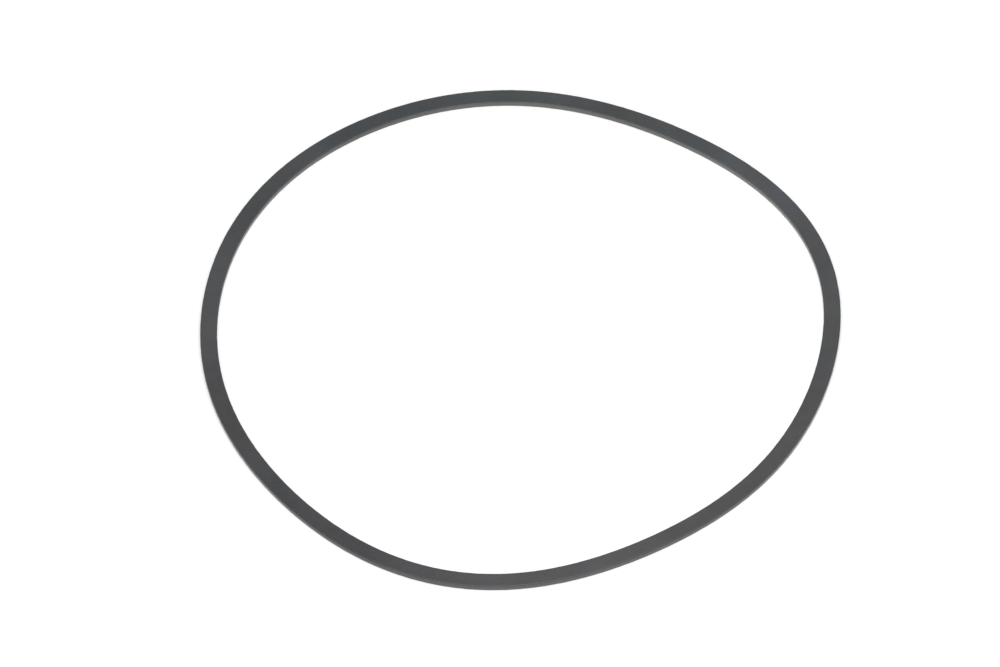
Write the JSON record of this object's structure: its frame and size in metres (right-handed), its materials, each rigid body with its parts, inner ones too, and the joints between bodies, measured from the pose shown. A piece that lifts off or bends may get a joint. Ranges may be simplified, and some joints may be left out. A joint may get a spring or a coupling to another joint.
{
  "type": "backup ring",
  "caption": "Endless flat-section backup ring of hard rubber, which lies beside a seal ring in its groove and keeps it from being squeezed out; shown slack on its underside.",
  "frame": {"origin": "under the middle of the slack loop's box, level with the underside", "axes": "+Z is the ring's axis, up from the underside; +X and +Y lie in the ring's plane, and the loop bulges most towards +X"},
  "size_m": [0.1742, 0.1764, 0.0017],
  "materials": {
    "ring_rubber": "satin, dark grey, moulded"
  },
  "bodies": {
    "root": {"backup_ring": "ring_rubber"}
  },
  "joints": []
}
